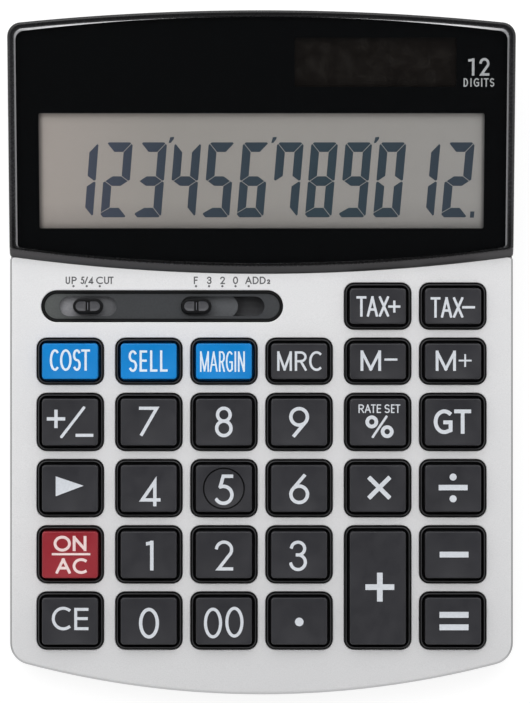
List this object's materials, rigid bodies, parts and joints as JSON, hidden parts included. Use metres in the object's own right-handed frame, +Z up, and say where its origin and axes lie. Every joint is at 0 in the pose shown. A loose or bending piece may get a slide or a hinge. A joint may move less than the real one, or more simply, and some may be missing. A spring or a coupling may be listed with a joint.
{
  "type": "desktop calculator",
  "caption": "Wedge-shaped desktop calculator with a raised display head, a keypad of separate keys and two slide switches.",
  "frame": {"origin": "on the table, under the centre of the case", "axes": "+Z up, +Y from the front edge towards the display, +X to the right as the user sees it"},
  "size_m": [0.145, 0.195, 0.039],
  "materials": {
    "case_plastic": "fine texture",
    "silver_paint": "silver paint with fine metallic flake",
    "black_plastic": "smooth black",
    "window_acrylic": "polished, black back print with clear openings",
    "panel_plastic": "satin dark grey",
    "knob_plastic": "satin black",
    "key_plastic": "satin dark grey, printed legend",
    "key_blue_plastic": "satin blue, printed legend",
    "key_red_plastic": "satin red, printed legend",
    "lcd_glass": "grey liquid crystal panel",
    "solar_glass": "dark amorphous cell",
    "ribbon_film": "clear amber film",
    "board_laminate": "green board",
    "chip_resin": "black resin",
    "membrane_rubber": "grey silicone rubber",
    "foot_rubber": "black rubber",
    "steel": "plated"
  },
  "bodies": {
    "case": {"bottom_case": "case_plastic", "battery_cover": "case_plastic", "keyboard_cover": "silver_paint", "head_housing": "black_plastic", "key_frame": "black_plastic", "display_window": "window_acrylic", "display_holder": "panel_plastic", "switch_panel": "panel_plastic", "lcd_panel": "lcd_glass", "solar_panel": "solar_glass", "lcd_ribbon": "ribbon_film", "main_board": "board_laminate", "driver_chip": "chip_resin", "key_membrane": "membrane_rubber", "button_cell": "steel", "contact_negative": "steel", "contact_positive": "steel", "cover_screw": "steel", "case_screw_1": "steel", "case_screw_2": "steel", "case_screw_3": "steel", "case_screw_4": "steel", "rubber_foot_1": "foot_rubber", "rubber_foot_2": "foot_rubber", "rubber_foot_3": "foot_rubber", "rubber_foot_4": "foot_rubber"},
    "key_clear_entry": {"key_clear_entry": "key_plastic"},
    "key_0": {"key_0": "key_plastic"},
    "key_double_zero": {"key_double_zero": "key_plastic"},
    "key_point": {"key_point": "key_plastic"},
    "key_equals": {"key_equals": "key_plastic"},
    "key_on_clear": {"key_on_clear": "key_red_plastic"},
    "key_1": {"key_1": "key_plastic"},
    "key_2": {"key_2": "key_plastic"},
    "key_3": {"key_3": "key_plastic"},
    "key_add": {"key_add": "key_plastic"},
    "key_subtract": {"key_subtract": "key_plastic"},
    "key_backspace": {"key_backspace": "key_plastic"},
    "key_4": {"key_4": "key_plastic"},
    "key_5": {"key_5": "key_plastic"},
    "key_6": {"key_6": "key_plastic"},
    "key_multiply": {"key_multiply": "key_plastic"},
    "key_divide": {"key_divide": "key_plastic"},
    "key_sign_change": {"key_sign_change": "key_plastic"},
    "key_7": {"key_7": "key_plastic"},
    "key_8": {"key_8": "key_plastic"},
    "key_9": {"key_9": "key_plastic"},
    "key_percent": {"key_percent": "key_plastic"},
    "key_grand_total": {"key_grand_total": "key_plastic"},
    "key_cost": {"key_cost": "key_blue_plastic"},
    "key_sell": {"key_sell": "key_blue_plastic"},
    "key_margin": {"key_margin": "key_blue_plastic"},
    "key_memory_recall": {"key_memory_recall": "key_plastic"},
    "key_memory_minus": {"key_memory_minus": "key_plastic"},
    "key_memory_plus": {"key_memory_plus": "key_plastic"},
    "key_tax_plus": {"key_tax_plus": "key_plastic"},
    "key_tax_minus": {"key_tax_minus": "key_plastic"},
    "rounding_switch": {"rounding_switch": "knob_plastic"},
    "decimal_switch": {"decimal_switch": "knob_plastic"}
  },
  "joints": [
    {"name": "press_clear_entry", "type": "slide", "parent": "case", "child": "key_clear_entry", "axis": [0, 0.0523, -0.9986], "range_m": [0, 0.0016], "stiffness_N_per_m": 250, "springref_m": -0.001, "deforming": ["key_membrane"]},
    {"name": "press_0", "type": "slide", "parent": "case", "child": "key_0", "axis": [0, 0.0523, -0.9986], "range_m": [0, 0.0016], "stiffness_N_per_m": 250, "springref_m": -0.001, "deforming": ["key_membrane"]},
    {"name": "press_double_zero", "type": "slide", "parent": "case", "child": "key_double_zero", "axis": [0, 0.0523, -0.9986], "range_m": [0, 0.0016], "stiffness_N_per_m": 250, "springref_m": -0.001, "deforming": ["key_membrane"]},
    {"name": "press_point", "type": "slide", "parent": "case", "child": "key_point", "axis": [0, 0.0523, -0.9986], "range_m": [0, 0.0016], "stiffness_N_per_m": 250, "springref_m": -0.001, "deforming": ["key_membrane"]},
    {"name": "press_equals", "type": "slide", "parent": "case", "child": "key_equals", "axis": [0, 0.0523, -0.9986], "range_m": [0, 0.0016], "stiffness_N_per_m": 250, "springref_m": -0.001, "deforming": ["key_membrane"]},
    {"name": "press_on_clear", "type": "slide", "parent": "case", "child": "key_on_clear", "axis": [0, 0.0523, -0.9986], "range_m": [0, 0.0016], "stiffness_N_per_m": 250, "springref_m": -0.001, "deforming": ["key_membrane"]},
    {"name": "press_1", "type": "slide", "parent": "case", "child": "key_1", "axis": [0, 0.0523, -0.9986], "range_m": [0, 0.0016], "stiffness_N_per_m": 250, "springref_m": -0.001, "deforming": ["key_membrane"]},
    {"name": "press_2", "type": "slide", "parent": "case", "child": "key_2", "axis": [0, 0.0523, -0.9986], "range_m": [0, 0.0016], "stiffness_N_per_m": 250, "springref_m": -0.001, "deforming": ["key_membrane"]},
    {"name": "press_3", "type": "slide", "parent": "case", "child": "key_3", "axis": [0, 0.0523, -0.9986], "range_m": [0, 0.0016], "stiffness_N_per_m": 250, "springref_m": -0.001, "deforming": ["key_membrane"]},
    {"name": "press_add", "type": "slide", "parent": "case", "child": "key_add", "axis": [0, 0.0523, -0.9986], "range_m": [0, 0.0016], "stiffness_N_per_m": 250, "springref_m": -0.001, "deforming": ["key_membrane"]},
    {"name": "press_subtract", "type": "slide", "parent": "case", "child": "key_subtract", "axis": [0, 0.0523, -0.9986], "range_m": [0, 0.0016], "stiffness_N_per_m": 250, "springref_m": -0.001, "deforming": ["key_membrane"]},
    {"name": "press_backspace", "type": "slide", "parent": "case", "child": "key_backspace", "axis": [0, 0.0523, -0.9986], "range_m": [0, 0.0016], "stiffness_N_per_m": 250, "springref_m": -0.001, "deforming": ["key_membrane"]},
    {"name": "press_4", "type": "slide", "parent": "case", "child": "key_4", "axis": [0, 0.0523, -0.9986], "range_m": [0, 0.0016], "stiffness_N_per_m": 250, "springref_m": -0.001, "deforming": ["key_membrane"]},
    {"name": "press_5", "type": "slide", "parent": "case", "child": "key_5", "axis": [0, 0.0523, -0.9986], "range_m": [0, 0.0016], "stiffness_N_per_m": 250, "springref_m": -0.001, "deforming": ["key_membrane"]},
    {"name": "press_6", "type": "slide", "parent": "case", "child": "key_6", "axis": [0, 0.0523, -0.9986], "range_m": [0, 0.0016], "stiffness_N_per_m": 250, "springref_m": -0.001, "deforming": ["key_membrane"]},
    {"name": "press_multiply", "type": "slide", "parent": "case", "child": "key_multiply", "axis": [0, 0.0523, -0.9986], "range_m": [0, 0.0016], "stiffness_N_per_m": 250, "springref_m": -0.001, "deforming": ["key_membrane"]},
    {"name": "press_divide", "type": "slide", "parent": "case", "child": "key_divide", "axis": [0, 0.0523, -0.9986], "range_m": [0, 0.0016], "stiffness_N_per_m": 250, "springref_m": -0.001, "deforming": ["key_membrane"]},
    {"name": "press_sign_change", "type": "slide", "parent": "case", "child": "key_sign_change", "axis": [0, 0.0523, -0.9986], "range_m": [0, 0.0016], "stiffness_N_per_m": 250, "springref_m": -0.001, "deforming": ["key_membrane"]},
    {"name": "press_7", "type": "slide", "parent": "case", "child": "key_7", "axis": [0, 0.0523, -0.9986], "range_m": [0, 0.0016], "stiffness_N_per_m": 250, "springref_m": -0.001, "deforming": ["key_membrane"]},
    {"name": "press_8", "type": "slide", "parent": "case", "child": "key_8", "axis": [0, 0.0523, -0.9986], "range_m": [0, 0.0016], "stiffness_N_per_m": 250, "springref_m": -0.001, "deforming": ["key_membrane"]},
    {"name": "press_9", "type": "slide", "parent": "case", "child": "key_9", "axis": [0, 0.0523, -0.9986], "range_m": [0, 0.0016], "stiffness_N_per_m": 250, "springref_m": -0.001, "deforming": ["key_membrane"]},
    {"name": "press_percent", "type": "slide", "parent": "case", "child": "key_percent", "axis": [0, 0.0523, -0.9986], "range_m": [0, 0.0016], "stiffness_N_per_m": 250, "springref_m": -0.001, "deforming": ["key_membrane"]},
    {"name": "press_grand_total", "type": "slide", "parent": "case", "child": "key_grand_total", "axis": [0, 0.0523, -0.9986], "range_m": [0, 0.0016], "stiffness_N_per_m": 250, "springref_m": -0.001, "deforming": ["key_membrane"]},
    {"name": "press_cost", "type": "slide", "parent": "case", "child": "key_cost", "axis": [0, 0.0523, -0.9986], "range_m": [0, 0.0016], "stiffness_N_per_m": 250, "springref_m": -0.001, "deforming": ["key_membrane"]},
    {"name": "press_sell", "type": "slide", "parent": "case", "child": "key_sell", "axis": [0, 0.0523, -0.9986], "range_m": [0, 0.0016], "stiffness_N_per_m": 250, "springref_m": -0.001, "deforming": ["key_membrane"]},
    {"name": "press_margin", "type": "slide", "parent": "case", "child": "key_margin", "axis": [0, 0.0523, -0.9986], "range_m": [0, 0.0016], "stiffness_N_per_m": 250, "springref_m": -0.001, "deforming": ["key_membrane"]},
    {"name": "press_memory_recall", "type": "slide", "parent": "case", "child": "key_memory_recall", "axis": [0, 0.0523, -0.9986], "range_m": [0, 0.0016], "stiffness_N_per_m": 250, "springref_m": -0.001, "deforming": ["key_membrane"]},
    {"name": "press_memory_minus", "type": "slide", "parent": "case", "child": "key_memory_minus", "axis": [0, 0.0523, -0.9986], "range_m": [0, 0.0016], "stiffness_N_per_m": 250, "springref_m": -0.001, "deforming": ["key_membrane"]},
    {"name": "press_memory_plus", "type": "slide", "parent": "case", "child": "key_memory_plus", "axis": [0, 0.0523, -0.9986], "range_m": [0, 0.0016], "stiffness_N_per_m": 250, "springref_m": -0.001, "deforming": ["key_membrane"]},
    {"name": "press_tax_plus", "type": "slide", "parent": "case", "child": "key_tax_plus", "axis": [0, 0.0523, -0.9986], "range_m": [0, 0.0016], "stiffness_N_per_m": 250, "springref_m": -0.001, "deforming": ["key_membrane"]},
    {"name": "press_tax_minus", "type": "slide", "parent": "case", "child": "key_tax_minus", "axis": [0, 0.0523, -0.9986], "range_m": [0, 0.0016], "stiffness_N_per_m": 250, "springref_m": -0.001, "deforming": ["key_membrane"]},
    {"name": "rounding_switch_slide", "type": "slide", "parent": "case", "child": "rounding_switch", "axis": [1, 0, 0], "range_m": [-0.00378, 0.00378]},
    {"name": "decimal_switch_slide", "type": "slide", "parent": "case", "child": "decimal_switch", "axis": [1, 0, 0], "range_m": [0, 0.01512]}
  ]
}
